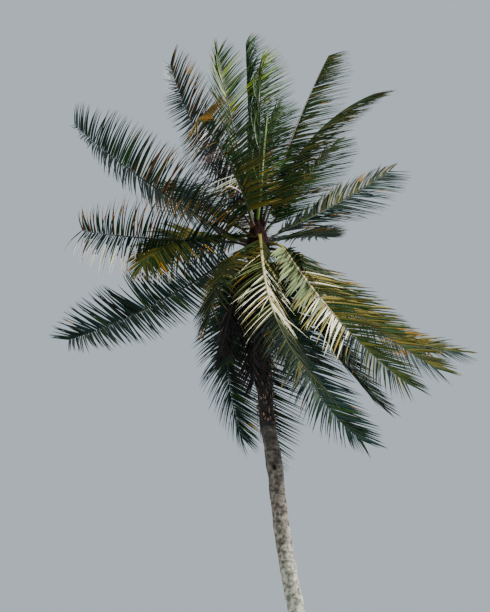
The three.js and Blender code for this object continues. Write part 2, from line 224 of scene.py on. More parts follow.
def mixed(material, share, first, second):
    """Mixes two colours, each written as sRGB hex or given as an output."""
    colours = [linear(colour) if isinstance(colour, str) else colour for colour in (first, second)]
    inputs = {0: share, 6: colours[0], 7: colours[1]}
    return node(material, "ShaderNodeMix", inputs, data_type="RGBA").outputs[2]


def brought(material, value, low, high, top=1):
    """Brings a value from between low and high to between 0 and top."""
    return node(material, "ShaderNodeMapRange", {0: value, 1: low, 2: high, 4: top}).outputs[0]


def blotches(material, place, scale, detail):
    """A noise pattern of 0 to 1."""
    inputs = {"Vector": place, "Scale": scale, "Detail": detail}
    return node(material, "ShaderNodeTexNoise", inputs).outputs[0]


def dress(material, shader, colour, height=None, strength=0, distance=0):
    """Feeds a shader its colour, and bumps it by a height if one is given."""
    material.node_tree.links.new(colour, shader.inputs["Base Color"])
    if height is not None:
        inputs = {"Height": height, "Strength": strength, "Distance": distance}
        bump = node(material, "ShaderNodeBump", inputs)
        material.node_tree.links.new(bump.outputs[0], shader.inputs["Normal"])


def new_finish(name, colour, roughness):
    """A material of one colour and roughness, with its shader, for nodes to be added to."""
    material = bpy.data.materials.new(name)
    material.use_nodes = True
    shader = material.node_tree.nodes["Principled BSDF"]
    shader.inputs["Base Color"].default_value = linear(colour)
    shader.inputs["Roughness"].default_value = roughness
    return material, shader


# Weathered palm bark: dull and rough, pale grey with lichen low down, turning brown where the wood is
# younger, and nearly black just under the crown, partly the darker wood there and partly painted shade of the
# crown.
# Scars are darker with dirt and with painted shade in their grooves, and cracks and the hole are darkened
# with painted shade in their recesses. Grain is drawn 12 mm wide, coarser than the real one, to show in the
# render.
GRAIN_WIDTH = 0.012
STAIN_SIZE = 0.3
LICHEN_SIZE = 0.07
PIT_SIZE = 0.045
bark_finish, shader = new_finish("weathered_palm_bark", "#8a7f70", 0.92)
place = node(bark_finish, "ShaderNodeTexCoord").outputs["Object"]
rise = node(bark_finish, "ShaderNodeSeparateXYZ", {0: place}).outputs["Z"]
stains = blotches(bark_finish, place, 1 / STAIN_SIZE, 3.0)
sway = node(bark_finish, "ShaderNodeMath", {0: stains, 1: 2.2, 2: rise}, operation="MULTIPLY_ADD")
youth = brought(bark_finish, sway.outputs[0], 5.9, 7.4)
dark_and_shaded_top = brought(bark_finish, sway.outputs[0], 7.6, 9.0)
lichen = blotches(bark_finish, place, 1 / LICHEN_SIZE, 6.0)
lichen_share = brought(bark_finish, lichen, 0.38, 0.6)
drawn = node(bark_finish, "ShaderNodeMapping", {"Vector": place, "Scale": (1, 1, 0.16)})
grain = blotches(bark_finish, drawn.outputs[0], 0.25 / GRAIN_WIDTH, 6.0)
grain_share = brought(bark_finish, grain, 0.5, 0.75, 0.6)
flattened = node(bark_finish, "ShaderNodeMapping", {"Vector": place, "Scale": (1, 1, 2.2)})
pits = node(bark_finish, "ShaderNodeTexNoise", {
    "Vector": flattened.outputs[0], "Scale": 1 / PIT_SIZE, "Detail": 4.0, "Roughness": 0.6,
})
pit_share = brought(bark_finish, pits.outputs[0], 0.57, 0.66, 0.8)
low = mixed(bark_finish, lichen_share, "#6d6f60", "#bdbca8")
high = mixed(bark_finish, lichen_share, "#40372f", "#8d8376")
aged = mixed(bark_finish, youth, low, high)
# Nearly black just under the crown: the darker wood there, with painted shade of the crown
top_darkened_and_shaded = mixed(bark_finish, dark_and_shaded_top, aged, "#15100f")
grained = mixed(bark_finish, grain_share, top_darkened_and_shaded, "#453b32")
pitted = mixed(bark_finish, pit_share, grained, "#3b322b")
# Scars darkened with dirt and with painted shade in their grooves
scar_value = node(bark_finish, "ShaderNodeAttribute", attribute_name="scar").outputs["Fac"]
scar_dirt_and_shade = node(bark_finish, "ShaderNodeMath", {0: scar_value, 1: 0.6}, operation="MULTIPLY").outputs[0]
scar_dirt_and_shaded = mixed(bark_finish, scar_dirt_and_shade, pitted, "#1f1814")
# Cracks darkened with painted shade in their recesses
crack_value = node(bark_finish, "ShaderNodeAttribute", attribute_name="crack").outputs["Fac"]
crack_shade = node(bark_finish, "ShaderNodeMath", {0: crack_value, 1: 0.45}, operation="MULTIPLY").outputs[0]
crack_shaded = mixed(bark_finish, crack_shade, scar_dirt_and_shaded, "#2f2721")
# The hole is painted nearly black: painted shade inside it
hole_shade = node(bark_finish, "ShaderNodeAttribute", attribute_name="hole").outputs["Fac"]
hole_shaded = mixed(bark_finish, hole_shade, crack_shaded, "#0d0907")
dress(bark_finish, shader, hole_shaded, pits.outputs[0], strength=0.5, distance=0.008)
bark.data.materials.append(bark_finish)
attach(bark, "root")
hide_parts("trunk")


# Stubs of shed fronds: under the crown the broken ends of old leaf bases still clasp the trunk in a spiral,
# woody wedges with torn tops. Made by sweeping a humped outline up each stub.
STUB_COUNT = 96
LOWEST_STUB = 7.72
HIGHEST_STUB = 10.44
STUB_LENGTH = 0.15
STUB_WIDTH = 0.09
STUB_THICKNESS = 0.024
STUB_TILT = math.radians(24)
STUB_STATIONS = 6
STUB_SUNK_SHARE = 0.3
STUB_ROOT_DEPTH = 0.012
STUB_OUTLINE = np.array([
    (1, -0.6), (0.62, 0.55), (0, 1.15), (-0.62, 0.55), (-1, -0.6), (-0.5, -0.75), (0.5, -0.75),
])


def unit(vectors):
    """Vectors at length 1."""
    return vectors / np.maximum(np.linalg.norm(vectors, axis=-1, keepdims=True), 1e-9)


def swept(name, paths, sides, ups, sections, materials, shades=None):
    """One mesh of many closed bodies. Each follows its path, with its sections laid off along its sides and
    ups. shades gives the material of each stretch of each body."""
    count, stations, corners = sections.shape[:3]
    rims = (
        paths[:, :, None]
        + sections[..., :1] * sides[:, :, None]
        + sections[..., 1:] * ups[:, :, None]
    )
    index = np.arange(count * stations * corners).reshape(count, stations, corners)
    after = np.roll(index, -1, axis=2)
    walls = np.stack([index[:, :-1], after[:, :-1], after[:, 1:], index[:, 1:]], axis=-1).reshape(-1, 4)
    caps = np.concatenate([index[:, 0, ::-1], index[:, -1]])
    mesh = bpy.data.meshes.new(name)
    mesh.from_pydata(rims.reshape(-1, 3).tolist(), [], walls.tolist() + caps.tolist())
    if shades is None:
        shades = np.zeros((count, stations - 1), dtype=int)
    wall_shades = np.repeat(shades[:, :, None], corners, axis=2).ravel()
    all_shades = np.concatenate([wall_shades, shades[:, 0], shades[:, -1]])
    mesh.polygons.foreach_set("material_index", all_shades.astype(np.int32))
    for material in materials:
        mesh.materials.append(material)
    made = bpy.data.objects.new(name, mesh)
    bpy.context.scene.collection.objects.link(made)
    return made


draws = np.random.default_rng(3)
order = np.arange(STUB_COUNT)
stub_height = LOWEST_STUB + (HIGHEST_STUB - LOWEST_STUB) * (order / (STUB_COUNT - 1))
stub_height = stub_height + draws.uniform(-0.02, 0.02, STUB_COUNT)
stub_azimuth = order * GOLDEN_TURN + draws.uniform(-0.2, 0.2, STUB_COUNT)
outward = np.stack([np.cos(stub_azimuth), np.sin(stub_azimuth), np.zeros(STUB_COUNT)], axis=1)
across = np.stack([-np.sin(stub_azimuth), np.cos(stub_azimuth), np.zeros(STUB_COUNT)], axis=1)
tilt = STUB_TILT + draws.uniform(-0.15, 0.3, STUB_COUNT)
climb = outward * np.sin(tilt)[:, None] + np.array([0, 0, 1]) * np.cos(tilt)[:, None]
face = np.cross(climb, across)
stub_length = STUB_LENGTH * draws.uniform(0.45, 1.25, STUB_COUNT)
stations = np.linspace(-STUB_SUNK_SHARE, 1, STUB_STATIONS)
foot = trunk_middle(stub_height) + outward * (trunk_radius(stub_height) - STUB_ROOT_DEPTH)[:, None]
stub_paths = foot[:, None] + climb[:, None] * (stations[None, :, None] * stub_length[:, None, None])
half = STUB_WIDTH / 2 * draws.uniform(0.7, 1.15, STUB_COUNT)[:, None]
half = half * np.linspace(1.15, 0.42, STUB_STATIONS)[None] ** 0.8
thick = STUB_THICKNESS / 2 * np.linspace(1.5, 0.35, STUB_STATIONS)[None] * np.ones((STUB_COUNT, 1))
corners = (STUB_COUNT, STUB_STATIONS, len(STUB_OUTLINE))
stub_sections = np.stack([
    STUB_OUTLINE[None, None, :, 0] * half[..., None] * draws.uniform(0.85, 1.15, corners),
    STUB_OUTLINE[None, None, :, 1] * thick[..., None] * draws.uniform(0.7, 1.3, corners),
], axis=-1)
every_station = np.ones((STUB_COUNT, STUB_STATIONS, 1))

# Torn leaf-base wood: dull, tan where a fresh break shows and elsewhere nearly black, its dark brown deepened
# with painted shade of the crown above, in streaks up the stub.
# Its fibres are drawn about 25 mm apart, coarser than the real ones, to show.
tan_wood, shader = new_finish("torn_leaf_base", "#7d5538", 0.95)
place = node(tan_wood, "ShaderNodeTexCoord").outputs["Object"]
drawn = node(tan_wood, "ShaderNodeMapping", {"Vector": place, "Scale": (1, 1, 0.25)})
torn = blotches(tan_wood, drawn.outputs[0], 38.0, 4.0)
torn_share = brought(tan_wood, torn, 0.52, 0.6)
# Nearly black: dark wood with painted shade of the crown, and tan breaks
torn_and_shaded_mix = mixed(tan_wood, torn_share, "#0b0808", "#866a5a")
dress(tan_wood, shader, torn_and_shaded_mix, torn, strength=0.7, distance=0.008)
stubs = swept(
    "shed_frond_stubs", stub_paths, across[:, None] * every_station, -face[:, None] * every_station,
    stub_sections, [tan_wood],
)
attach(stubs, "root")
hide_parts("trunk")


# Bundle of leaf bases: the swollen heart of the crown, wrapped in the coarse brown net of fibre that each
# leaf base leaves behind. Made from a ringed cylinder that closes to a dome.
BUNDLE_HEIGHT = 1.05
BUNDLE_RADIUS = 0.205
BUNDLE_SIDES = 72
BUNDLE_CUTS = 9
HIGHEST_SEAT = 0.86
BASE_GAP = 0.0003
WRAPS = 5
WRAP_TWIST = 9
WRAP_DEPTH = 0.012
RIDGE_DEPTH = 0.012
FIBRE_SUNK = 0.014


def bundle_radius(share):
    """How wide the bundle is at a share of its height."""
    share = np.clip(share, 0, 1)
    belly = np.sin(np.pi * (0.22 + 0.6 * share)) ** 1.2
    return BUNDLE_RADIUS * belly * np.sqrt(np.maximum(0, 1 - share ** 5))


def bundle_point(share):
    """The bundle's middle line at a share of its height."""
    return trunk_middle(np.asarray(TRUNK_TOP + BASE_GAP + share * BUNDLE_HEIGHT))


heart = ringed_cylinder("fibre_heart", BUNDLE_SIDES, BUNDLE_CUTS)
points = mesh_points(heart.data)
share = points[:, 2] + 0.5
angle = np.arctan2(points[:, 1], points[:, 0])
skin = np.hypot(points[:, 0], points[:, 1])
around = np.stack([np.cos(angle), np.sin(angle)], axis=1)
wraps = np.abs(np.sin(WRAPS / 2 * angle + WRAP_TWIST * share))
ridges = noise_at(np.column_stack([around * 7, share * 2.5]))
reach = bundle_radius(np.minimum(share, 0.995)) * skin
relief = WRAP_DEPTH * wraps + RIDGE_DEPTH * ridges - FIBRE_SUNK
reach = np.maximum(reach + np.where(skin > 0.5, relief, 0), 0)
middle = bundle_point(share)
points = np.column_stack([middle[:, :2] + around * reach[:, None], middle[:, 2]])
heart.data.vertices.foreach_set("co", points.ravel())

# Palm fibre: a dry matted net without gloss, dark brown painted nearly black with the shade under the crown,
# with red-brown strands. Strands are drawn about 8 mm wide, coarser than the real ones, to show.
fibre_finish, shader = new_finish("matted_palm_fibre", "#4a2c1b", 1.0)
shader.inputs["Specular IOR Level"].default_value = 0.1
place = node(fibre_finish, "ShaderNodeTexCoord").outputs["Object"]
drawn = node(fibre_finish, "ShaderNodeMapping", {"Vector": place, "Scale": (1, 1, 0.2)})
strand = blotches(fibre_finish, drawn.outputs[0], 60.0, 5.0)
strand_share = brought(fibre_finish, strand, 0.4, 0.65)
# Nearly black ground: dark brown fibre with painted shade of the crown
shaded_strand_mix = mixed(fibre_finish, strand_share, "#090404", "#2b120b")
dress(fibre_finish, shader, shaded_strand_mix, strand, strength=0.8, distance=0.01)
heart.data.materials.append(fibre_finish)
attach(heart, "root")
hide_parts("leaf_base_bundle")


# Loose fibre: threads that have torn out of the net and hang round the bundle and the stubs below it. Each
# is swept with three sides, starts a little inside the wood and sags with the wind.
THREAD_COUNT = 900
THREAD_LENGTH = 0.26
THREAD_WIDTH = 0.006
THREAD_STEPS = 5
THREAD_SUNK = 0.005
THREAD_SAG = np.array([0.25, 0, -1.3])
LOWEST_THREAD = 7.8
HIGHEST_THREAD = 11.45
draws = np.random.default_rng(5)
thread_height = draws.uniform(LOWEST_THREAD, HIGHEST_THREAD, THREAD_COUNT)
thread_azimuth = draws.uniform(0, math.tau, THREAD_COUNT)
outward = np.stack([np.cos(thread_azimuth), np.sin(thread_azimuth), np.zeros(THREAD_COUNT)], axis=1)
in_bundle = thread_height > TRUNK_TOP
up_bundle = (thread_height - TRUNK_TOP) / BUNDLE_HEIGHT
thread_radius = np.where(in_bundle, bundle_radius(up_bundle), trunk_radius(thread_height))
start = trunk_middle(thread_height) + outward * (thread_radius - THREAD_SUNK)[:, None]
way = unit(outward * draws.uniform(0.2, 1.1, (THREAD_COUNT, 1)) + draws.normal(0, 0.6, (THREAD_COUNT, 3)))
length = THREAD_LENGTH * draws.uniform(0.3, 1.2, THREAD_COUNT)
paths = [start]
for step in range(1, THREAD_STEPS + 1):
    sag = unit(way + THREAD_SAG * step / THREAD_STEPS)
    paths.append(paths[-1] + sag * length[:, None] / THREAD_STEPS)
paths = np.stack(paths, axis=1)
along = unit(np.gradient(paths, axis=1))
sides = unit(np.cross(along, np.array([0.1, 0.2, 1.0])))
ups = np.cross(along, sides)
width = THREAD_WIDTH * np.linspace(1, 0.25, THREAD_STEPS + 1)[None, :, None]
width = width * draws.uniform(0.5, 1.4, (THREAD_COUNT, 1, 1))
triangle = np.array([(math.cos(a), math.sin(a)) for a in (0, math.tau / 3, 2 * math.tau / 3)])
sections = triangle[None, None] * width[..., None] / 2
threads = swept("loose_fibre", paths, sides, ups, sections, [fibre_finish])
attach(threads, "root")
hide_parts("leaf_base_bundle")


# Fronds: each has a stout stalk whose wide foot clasps the bundle, and which thins to a rib between the
# leaflets. Made by sweeping the stalk's outline along the rib, by the rule that the solids grow by.
STALK_SHARE = 0.12
PATH_STEPS = 48
SHOULDER_SHARE = 0.16
SEAT_RISE = 24
SEAT_DEPTH = 0.5
BEND_POWER = 1.4
RIB_BASE_WIDTH = 0.088
RIB_TIP_WIDTH = 0.009
RIB_TAPER_POWER = 0.42
RIDGE_HEIGHT = 1.9
CLASP_SHARE = 0.09
CLASP_WIDENING = 0.9
CLASP_FLATTENING = 0.45
RIB_OUTLINE = np.array([
    (1, 0.05), (0.72, 0.5), (0, 0.34), (-0.72, 0.5), (-1, 0.05), (-0.74, -0.5), (0, -0.78), (0.74, -0.5),
])

# The fronds from the youngest down. seat is how high on the bundle a frond roots, azimuth the side it grows
# to (0 is +X), rise the slope of its rib, droop how far that has sunk at the tip, sweep how far it has swung
# round, and roll how far the blade turns about it, in degrees. The length is in metres. blow is how hard the
# wind takes its leaflets, hang how heavily they hang, breadth how broad they are to the usual, and tone their
# mixture of colours, by its name in TONES, or "pale" where SIDE_TONES has all of it.
FRONDS = [
    # name, seat, azimuth, rise, droop, sweep, roll, length, blow, hang, breadth, tone
    ("upright_centre_left", 1.0, 148, 78, 0, 0, -55, 3.9, 0.8, 1, 1.15, "fresh"),
    ("upright_centre_right", 1.0, 78, 84, 0, 0, 0, 3.7, 1.6, 1, 1, "fresh"),
    ("upright_left", 0.94, 169, 60, -15, 0, 30, 3.85, 1.0, 1, 0.75, "shaded_teal"),
    ("upright_right", 0.94, 39, 71, 8, 0, 20, 4.6, 4.0, 1, 1, "olive"),
    ("upright_back", 0.92, 101, 78, 0, 0, 0, 4.55, 1.8, 1, 1, "green"),
    ("upright_back_right", 0.86, 76, 66, 4, 0, 0, 3.9, 1.6, 1, 1.3, "green"),
    ("upright_front", 0.88, 215, 76, 125, 60, 40, 3.0, 0.8, 1, 1.1, "amber"),
    ("right_high", 0.84, 12, 73, 44, 0, 20, 3.85, 3.6, 1, 1.2, "olive"),
    ("right_back_high", 0.78, 48, 52, 0, 0, 20, 3.6, 1.8, 1, 1.2, "green"),
    ("left_high", 0.56, 174, 34, -12, 0, 34, 4.15, 1.0, 1, 0.9, "shaded_teal"),
    ("left_back_high", 0.76, 124, 42, 8, 0, -30, 3.9, 1.2, 1, 1.2, "shade"),
    ("right_level", 0.7, 40, 35, -6, 0, 40, 4.15, 1.2, 1, 1.3, "olive"),
    ("back_level", 0.62, 66, 31, 12, 0, 0, 3.7, 1.2, 1, 1, "shade"),
    ("left_level", 0.48, 210, -13, -8, 0, 45, 3.2, 1.4, 1, 1.2, "rusty"),
    ("left_front", 0.6, 208, 0, 60, 0, -45, 2.35, 1.0, 2.5, 1.3, "gold"),
    ("left_low", 0.42, 150, -23, -20, 0, 18, 4.0, 1.1, 1, 1.05, "shaded_teal"),
    ("back_low_left", 0.4, 99, -8, 15, 0, 0, 3.8, 1.0, 1, 1, "shade"),
    ("back_low_right", 0.42, 77, -10, 15, 0, 0, 3.8, 1.0, 1, 1, "shade"),
    ("right_outer_high", 0.48, 5, -53, -50, 0, 45, 3.85, 0.1, 1.6, 1.15, "gold"),
    ("right_outer_low", 0.54, 346, -52, -16, 0, 50, 3.85, 0.5, 1.6, 1.15, "gold"),
    ("right_low", 0.36, 358, -69, -22, 0, 30, 3.4, 0.6, 1.6, 1, "shade"),
    ("right_drooping", 0.5, 323, -60, -17, 0, 45, 4.15, 0.4, 2.2, 0.8, "pale"),
    ("front_drooping", 0.42, 240, -38, 40, 0, 20, 2.5, 0.3, 3, 0.6, "gold"),
    ("hanging_right", 0.62, 274, -70, -24, 50, 20, 4.3, 0.3, 3.2, 0.38, "pale"),
    ("trailing_right", 0.3, 318, -88, -50, 0, 30, 4.4, 0.5, 1.8, 1, "shaded_teal"),
    ("hanging_back", 0.28, 80, -84, 0, 0, 0, 3.6, 2.0, 1.8, 1, "shade"),
    ("hanging_left", 0.3, 126, -52, 14, -84, 0, 3.4, 0.8, 1.8, 1, "shaded_teal"),
    ("dry_left", 0.14, 222, -68, 10, 0, 0, 2.0, 0.1, 1, 0.7, "dry"),
    ("dry_front", 0.06, 262, -78, 8, 0, 0, 2.4, 0.1, 1, 0.7, "dry"),
    ("dry_right", 0.1, 320, -76, 6, 0, 0, 2.1, 0.1, 1, 0.7, "dry"),
]


def rib_path(seat, azimuth, rise, droop, sweep, roll, length):
    """A rib's frames, evenly spaced: its points, its direction, its left side and its upper side."""
    share = np.linspace(0, 1, PATH_STEPS + 1)
    raised = max(0, SEAT_RISE - rise) * np.maximum(0, 1 - share / SHOULDER_SHARE) ** 2
    slope = np.radians(rise + raised - droop * share ** BEND_POWER)
    heading = np.radians(azimuth + sweep * share ** BEND_POWER)
    along = np.stack([
        np.cos(slope) * np.cos(heading), np.cos(slope) * np.sin(heading), np.sin(slope),
    ], axis=1)
    level = np.stack([-np.sin(heading), np.cos(heading), 0 * share], axis=1)
    turn = np.radians(roll * np.minimum(1, 2 * share))[:, None]
    side = level * np.cos(turn) + np.cross(along, level) * np.sin(turn)
    height = seat * HIGHEST_SEAT
    outward = np.array([math.cos(math.radians(azimuth)), math.sin(math.radians(azimuth)), 0])
    root = bundle_point(height) + outward * SEAT_DEPTH * bundle_radius(height)
    points = np.vstack([root, root + np.cumsum(along[:-1] * length / PATH_STEPS, axis=0)])
    return points, along, side, np.cross(along, side)


def frame_at(path, share):
    """The frames of a rib at many shares of its length."""
    steps = np.linspace(0, 1, PATH_STEPS + 1)
    return [np.stack([np.interp(share, steps, part[:, i]) for i in range(3)], axis=-1) for part in path]


def rib_width(share):
    """How wide a rib is at a share of its length, without the clasp at its foot."""
    return RIB_BASE_WIDTH + (RIB_TIP_WIDTH - RIB_BASE_WIDTH) * share ** RIB_TAPER_POWER


# Leaf stalk: smooth and a little waxy, with a brown foot and brown mottling about 70 mm across. Most are dull
# olive; those of fronds in shade are nearly black green, which is painted shade. One is silvery grey and
# those of the two pale fronds golden with a cream middle stretch, both painted highlights where the sun
# strikes them, and the dead ones are dark brown.
STALKS = [
    # name, colour past the foot, colour of the next stretch, colour from the middle to the tip
    ("waxy_olive_stalk", "#2f3818", "#2f3818", "#2c3416"),
    # Painted shade on the deep green stalk; painted highlights on the silvery one and the cream middle of the
    # golden one
    ("shaded_deep_green_stalk", "#12190f", "#12190f", "#10160f"),
    ("highlit_silvery_stalk", "#5d5848", "#85796c", "#9a8e84"),
    ("highlit_golden_stalk", "#7d7430", "#d9cc98", "#39401c"),
    ("dead_brown_stalk", "#241a15", "#241a15", "#2c211c"),
]
stalk_finishes = {}
for name, first_colour, middle_colour, tip_colour in STALKS:
    stalk_finish, shader = new_finish(name, middle_colour, 0.6)
    shader.inputs["Specular IOR Level"].default_value = 0.2
    place = node(stalk_finish, "ShaderNodeTexCoord").outputs["Object"]
    run = node(stalk_finish, "ShaderNodeAttribute", attribute_name="share").outputs["Fac"]
    foot_share = brought(stalk_finish, run, 0.03, 0.1)
    middle_share = brought(stalk_finish, run, 0.14, 0.24)
    tip_share = brought(stalk_finish, run, 0.42, 0.6)
    mottle = blotches(stalk_finish, place, 14.0, 4.0)
    mottle_share = brought(stalk_finish, mottle, 0.4, 0.8, 0.5)
    footed = mixed(stalk_finish, foot_share, "#2b140e", first_colour)
    # The middle stretch: a painted highlight on the silvery and golden stalks
    highlit = mixed(stalk_finish, middle_share, footed, middle_colour)
    tipped = mixed(stalk_finish, tip_share, highlit, tip_colour)
    mottled = mixed(stalk_finish, mottle_share, tipped, "#3a301c")
    dress(stalk_finish, shader, mottled)
    stalk_finishes[name] = stalk_finish

# The stalk of a frond by its name or its tone, where it isn't the waxy olive one
STALK_OF = {
    "upright_right": "highlit_silvery_stalk",
    "shaded_teal": "shaded_deep_green_stalk", "shade": "shaded_deep_green_stalk", "rusty": "shaded_deep_green_stalk",
    "pale": "highlit_golden_stalk", "dry": "dead_brown_stalk",
}

paths_of = {}
nodes_of = {}
for name, *course, _, _, _, tone in FRONDS:
    points, along, side, up = rib_path(*course)
    paths_of[name] = points, along, side, up
    own_names = [f"frond_{name}{part}" for part in ("", "_inner", "_outer")]
    nodes_of[name] = [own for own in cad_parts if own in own_names]
    share = np.linspace(0, 1, PATH_STEPS + 1)
    clasp = np.maximum(0, 1 - share / CLASP_SHARE) ** 1.5
    width = rib_width(share) * (1 + CLASP_WIDENING * clasp) / 2
    depth = width * (0.95 - CLASP_FLATTENING * clasp)
    sections = RIB_OUTLINE[None] * np.stack([width, depth], axis=1)[:, None]

    # The upper side is a channel at the foot, and rises to a ridge between the leaflets
    ridge = np.interp(share, [0, 0.18, 0.3, 1], [0, 0.1, 0.9, 0.9])
    sections[:, 2, 1] = sections[:, 2, 1] * ridge * RIDGE_HEIGHT
    stalk = stalk_finishes[STALK_OF.get(name) or STALK_OF.get(tone, "waxy_olive_stalk")]
    rib = swept(f"frond_{name}_rib", points[None], side[None], up[None], sections[None], [stalk])
    keep_value(rib.data, "share", np.repeat(share, len(RIB_OUTLINE)))
    rib.data.shade_smooth()
    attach(rib, "root")
    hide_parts(*nodes_of[name])


# Leaflets: stiff narrow blades folded along their middle, about 100 a side, that lean forward from the rib,
# stream with the wind and droop. Many are scorched amber and brown at the tip. Each is swept as a thin folded
# blade of one plain colour, or two where its tip is dry, and the colours are dealt out by spray.
LEAFLETS_A_SIDE = 104
LEAFLET_LENGTH = 0.86
LEAFLET_WIDTH = 0.038
LEAFLET_HALF_THICKNESS = 0.0022
LEAFLET_FOLD = 0.5
LEAFLET_TWIST = math.radians(32)
SEAT_OUT = 0.42
SEAT_UP = 0.12
USUAL_RIB_LENGTH = 4.2
SHORTER_AT_TIP = 0.12
SHUT_AT_TIP = 0.3
SPRAY_GATHER = 0.1
OWN_SHADE_SHARE = 0.6
BORDER_SCATTER = 0.04
BROKEN_SHARE = 0.07
LOST_SHARE = 0.02
STEM_GAP = 0.01
ROOT_LEAN = 82
TIP_LEAN = 42
LEAFLET_LIFT = 16
DRY_LEAN = 34
DRY_LIFT = -15
WIND = np.array([0.62, 0.12, 0.1])
WEIGHT = np.array([0, 0, -0.3])
PULL_AT_TIP = 0.85
PULL_AT_ROOT = 0.6
LINE_STEPS = 8
LEAF_COLOURS = {
    "shade_green": "#0e1a11",
    "blue_green": "#102723",
    "deep_green": "#15260f",
    "leaf_green": "#1f3a14",
    "olive": "#333812",
    "yellow_olive": "#544d12",
    "fresh_green": "#3c591a",
    "bright_green": "#778a1c",
    "straw": "#94803c",
    "amber": "#946410",
    "rust": "#5a3416",
    "dry_brown": "#1e1512",
    "pale_green": "#76834f",
    # Sage: a painted sheen where the sun glints on the blades
    "sage": "#58623d",
    # Near-white: mostly a painted highlight where the sun glints on the blades
    "cream": "#fbf4d0",
    "pink_white": "#ead9d4",
    "grey_brown": "#5a4640",
    # Near-black: dead brown with painted shade under the crown
    "shaded_dark_brown": "#0d090b",
}
SHADES = list(LEAF_COLOURS)

# A tone is a mixture of shades by weight
TONES = {
    "fresh": {"fresh_green": 4, "bright_green": 3, "leaf_green": 4, "yellow_olive": 2, "deep_green": 3},
    "straw": {"straw": 3, "yellow_olive": 3, "cream": 1, "olive": 2},
    "frayed": {"blue_green": 3, "deep_green": 3, "shade_green": 2},
    "green": {"leaf_green": 5, "deep_green": 4, "fresh_green": 2, "olive": 1},
    "olive": {"leaf_green": 4, "olive": 4, "deep_green": 3, "yellow_olive": 1},
    # Dark blue-green for fronds that lie in shade: painted shade
    "shaded_teal": {"blue_green": 6, "shade_green": 3, "deep_green": 3, "leaf_green": 1},
    # Near-black greens for fronds at the back and underneath: painted shade
    "shade": {"shade_green": 4, "deep_green": 4, "blue_green": 3, "leaf_green": 1},
    "amber": {"olive": 4, "yellow_olive": 2, "leaf_green": 3, "deep_green": 2},
    "rusty": {"deep_green": 3, "blue_green": 3, "rust": 2, "olive": 1},
    "gold": {"yellow_olive": 3, "olive": 4, "leaf_green": 3},
    "scorched": {"amber": 3, "rust": 2, "yellow_olive": 4, "olive": 3},
    # Smooth sage and pale green where the sun glints on overlapping blades: painted sheen
    "sheen": {"sage": 6, "pale_green": 2, "olive": 1},
    # Cream and pale blades where the sun glints on the glossy leaflets: painted highlights
    "highlit": {"cream": 5, "straw": 2, "pale_green": 2, "olive": 2, "shade_green": 2},
    "withered": {"grey_brown": 5, "straw": 2, "cream": 1, "pink_white": 1, "dry_brown": 4, "shade_green": 3},
    "ember": {"leaf_green": 3, "deep_green": 4, "blue_green": 2, "rust": 2, "yellow_olive": 1},
    # Dark olive and greens for stretches that hang in shade: painted shade
    "dusk": {"olive": 3, "shade_green": 4, "deep_green": 4, "yellow_olive": 1},
    # Dead leaflets, dark brown deepened to near-black with painted shade under the crown
    "dry": {"shaded_dark_brown": 7, "dry_brown": 3},
}

# The mixture of a tone's scorched tips, and the share of its leaflets that have one
TIP_TONES = {
    "fresh": {"bright_green": 3, "yellow_olive": 3, "amber": 2},
    "amber": {"amber": 5, "rust": 3, "yellow_olive": 2},
    "rusty": {"amber": 4, "yellow_olive": 3, "rust": 2, "straw": 1},
    "gold": {"amber": 1, "straw": 2, "yellow_olive": 5, "rust": 1},
    "frayed": {"pink_white": 4, "cream": 2, "rust": 1, "straw": 1},
    "highlit": {"cream": 3, "straw": 2, "rust": 1},
    "straw": {"amber": 2, "yellow_olive": 2, "straw": 2},
    "ember": {"amber": 3, "rust": 3, "shade_green": 1},
    "dry": {"grey_brown": 1, "dry_brown": 3, "shaded_dark_brown": 2},
}
OTHER_TIPS = {"amber": 3, "rust": 4, "dry_brown": 3}
SCORCHED_SHARE = {
    "fresh": 0.4, "amber": 0.8, "rusty": 0.8, "gold": 0.6, "frayed": 0.9, "ember": 0.5, "dry": 0.6,
}
OTHER_SCORCHED_SHARE = 0.22

# What else comes with a tone: how broad its leaflets are to the usual, how far they are shrivelled and so
# scattered, and by how many steps their tips are dry further down
TONE_BREADTH = {"sheen": 2.3, "highlit": 0.95, "withered": 0.5}
TONE_SHRIVELLED = {"withered": 1, "highlit": 0.5}
TONE_DRIER = {"frayed": 2}

# The tones of one side of a frond from root to tip, each with the place along the row where it ends, where
# they aren't just the frond's own. Side 1 is the left one as seen from the root, -1 the right one, 0 is both.
SIDE_TONES = {
    ("hanging_right", -1): [("gold", 0.16), ("highlit", 0.44), ("dusk", 1)],
    ("hanging_right", 1): [("gold", 0.12), ("highlit", 0.5), ("dusk", 1)],
    ("right_drooping", -1): [("sheen", 0.32), ("highlit", 0.6), ("dusk", 1)],
    ("right_drooping", 1): [("olive", 0.15), ("straw", 0.38), ("gold", 0.7), ("olive", 1)],
    ("left_front", 1): [("dusk", 0.6), ("olive", 1)],
    ("left_level", -1): [("shaded_teal", 0.4), ("frayed", 1)],
    ("left_high", 1): [("shaded_teal", 0.3), ("ember", 0.75), ("shaded_teal", 1)],
    ("upright_left", -1): [("shaded_teal", 0.85), ("frayed", 1)],
    ("upright_left", 1): [("shaded_teal", 0.5), ("rusty", 1)],
    ("upright_front", -1): [("olive", 0.08), ("withered", 1)],
    ("upright_front", 1): [("gold", 0.3), ("olive", 0.5), ("amber", 0.78), ("scorched", 1)],
    ("upright_centre_left", 0): [("green", 0.5), ("fresh", 1)],
    ("upright_centre_right", 0): [("green", 0.6), ("fresh", 1)],
    ("front_drooping", -1): [("gold", 0.5), ("dusk", 1)],
    ("front_drooping", 1): [("gold", 0.6), ("dusk", 1)],
    ("right_level", -1): [("shaded_teal", 1)],
    ("right_level", 1): [("dusk", 1)],
    ("right_outer_high", -1): [("gold", 0.6), ("shaded_teal", 1)],
    ("right_outer_low", -1): [("olive", 0.5), ("shaded_teal", 1)],
}

